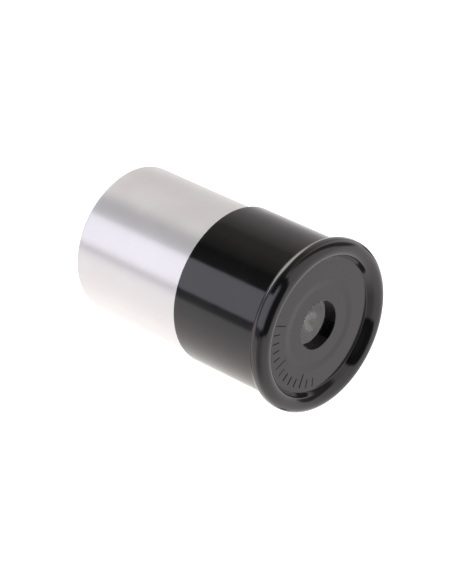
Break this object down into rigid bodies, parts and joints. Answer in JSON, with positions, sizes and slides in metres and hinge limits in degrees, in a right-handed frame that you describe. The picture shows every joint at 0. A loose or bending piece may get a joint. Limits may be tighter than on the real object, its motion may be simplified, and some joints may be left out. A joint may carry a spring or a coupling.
{
  "type": "telescope eyepiece",
  "caption": "Two-lens push-fit telescope eyepiece: satin aluminium barrel, glossy black cap with a rounded rim, a recessed face with index ticks, and a small eye hole.",
  "frame": {"origin": "on the optical axis, in the plane of the shoulder where the cap meets the barrel; this plane seats on the end of the drawtube", "axes": "+Z along the optical axis towards the eye; the barrel runs down to -Z; the index ticks lie on the -Y and +X side of the face"},
  "size_m": [0.0283, 0.0282, 0.0422],
  "materials": {
    "barrel_metal": "satin turned, clear anodised",
    "cap_plastic": "glossy black moulding",
    "tube_plastic": "matt black moulding",
    "lens_glass": "polished, uncoated crown glass",
    "ring_metal": "black anodised, turned",
    "stop_metal": "blackened brass sheet"
  },
  "bodies": {
    "barrel": {"barrel": "barrel_metal"},
    "lens_tube": {"lens_tube": "tube_plastic", "field_stop": "stop_metal", "stop_spacer": "tube_plastic"},
    "eye_cap": {"eye_cap": "cap_plastic"},
    "eye_lens": {"eye_lens": "lens_glass"},
    "eye_lens_ring": {"eye_lens_ring": "ring_metal"},
    "field_lens": {"field_lens": "lens_glass"},
    "field_lens_ring": {"field_lens_ring": "ring_metal"}
  },
  "joints": [
    {"name": "cap_turn", "type": "hinge", "parent": "barrel", "child": "lens_tube", "pos_m": [0, 0, 0], "axis": [0, 0, 1], "range_deg": [0, 2430]},
    {"name": "cap_lift", "type": "slide", "parent": "lens_tube", "child": "eye_cap", "axis": [0, 0, 1], "range_m": [0, 0.00506]},
    {"name": "eye_ring_travel", "type": "slide", "parent": "eye_cap", "child": "eye_lens", "axis": [0, 0, -1], "range_m": [0, 0.00287]},
    {"name": "eye_ring_turn", "type": "hinge", "parent": "eye_lens", "child": "eye_lens_ring", "pos_m": [0, 0, 0.01472], "axis": [0, 0, -1], "range_deg": [0, 2070]},
    {"name": "field_ring_travel", "type": "slide", "parent": "lens_tube", "child": "field_lens", "axis": [0, 0, -1], "range_m": [0, 0.00274]},
    {"name": "field_ring_turn", "type": "hinge", "parent": "field_lens", "child": "field_lens_ring", "pos_m": [0, 0, 0.00072], "axis": [0, 0, -1], "range_deg": [0, 1980]}
  ],
  "couplings": [
    {"joint": "cap_turn", "follows": "cap_lift", "rad_per_m": 8377.6},
    {"joint": "eye_ring_turn", "follows": "eye_ring_travel", "rad_per_m": 12566},
    {"joint": "field_ring_turn", "follows": "field_ring_travel", "rad_per_m": 12566}
  ]
}
